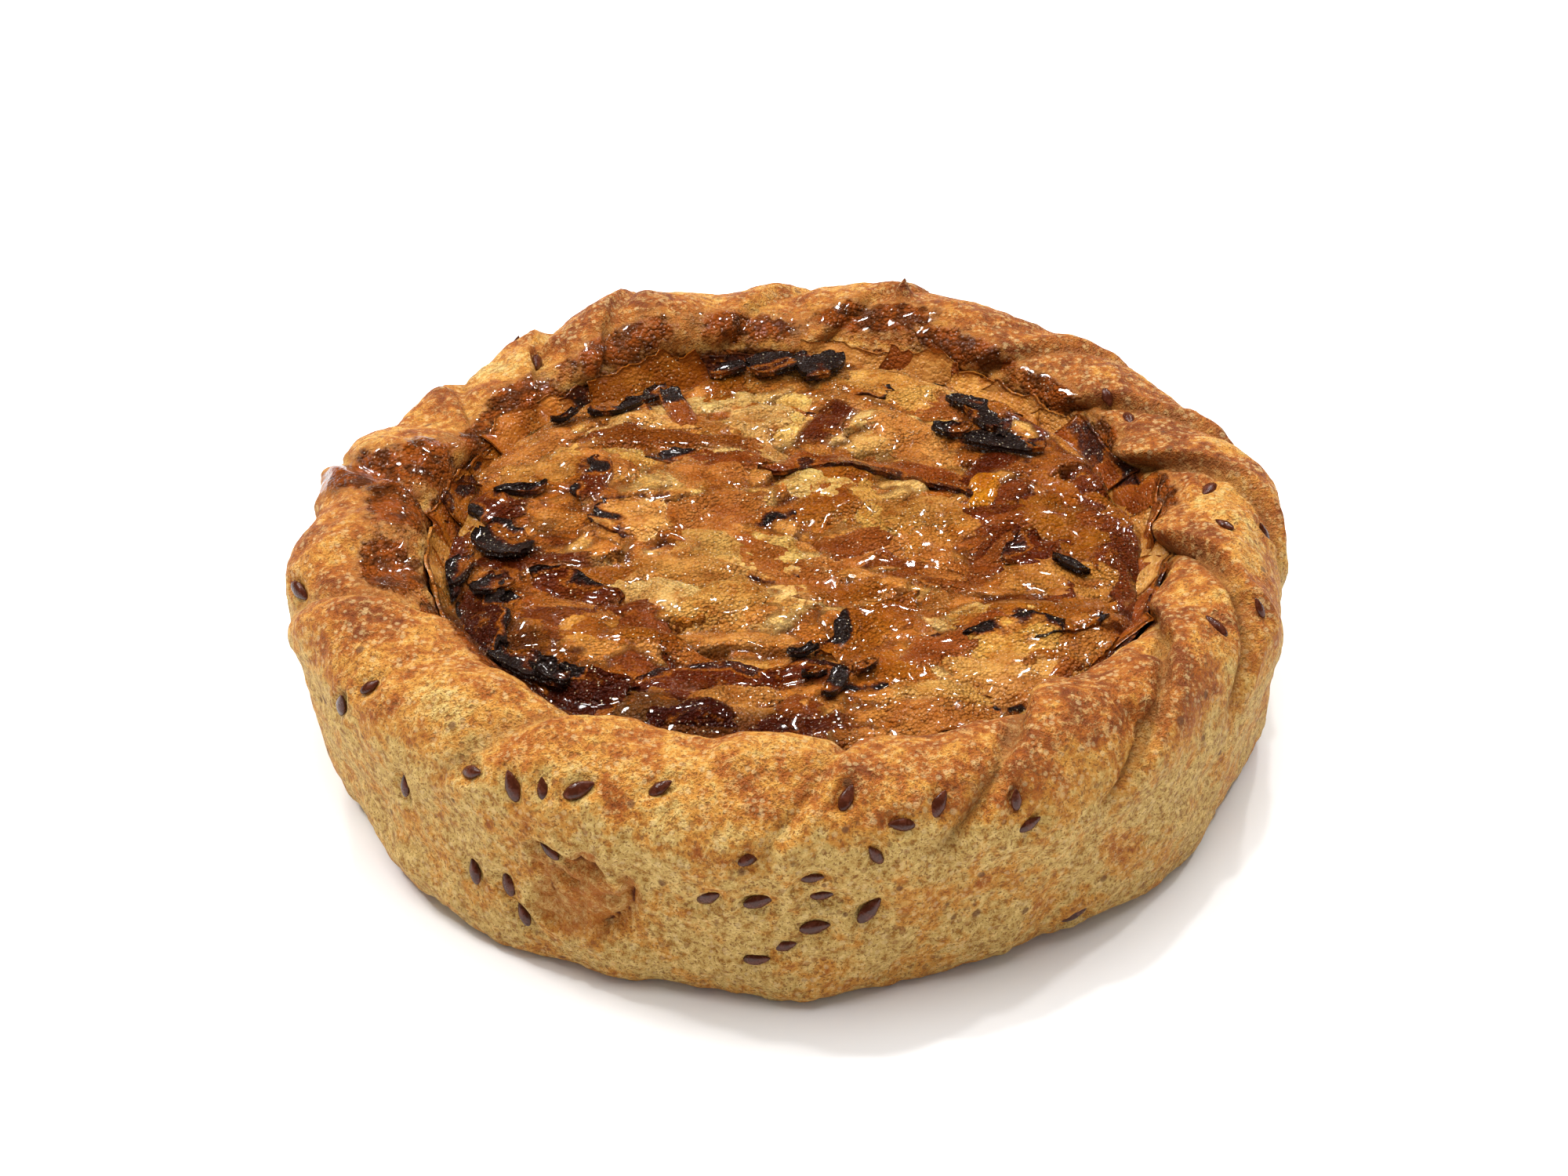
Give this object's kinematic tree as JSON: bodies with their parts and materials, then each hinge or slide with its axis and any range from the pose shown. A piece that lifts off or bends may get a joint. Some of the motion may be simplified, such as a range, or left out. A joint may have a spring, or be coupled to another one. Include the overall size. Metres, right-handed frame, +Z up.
{
  "type": "onion tart",
  "caption": "Small round deep tart: a wholegrain pastry case with a folded, rope-like rim and linseeds, filled with a level bed of caramelised onion pieces.",
  "frame": {"origin": "middle of the tart's footprint, on the surface it stands on", "axes": "+Z up out of the filling; the tart's front, as seen in the picture, faces -Y"},
  "size_m": [0.1296, 0.1314, 0.0331],
  "materials": {
    "pastry": "matte baked wholegrain pastry, paler on the wall and browner on the rim",
    "caramelised_onion": "wet, glossy caramelised onion with charred edges"
  },
  "bodies": {
    "root": {"pastry_case": "pastry", "onion_filling": "caramelised_onion"}
  },
  "joints": []
}
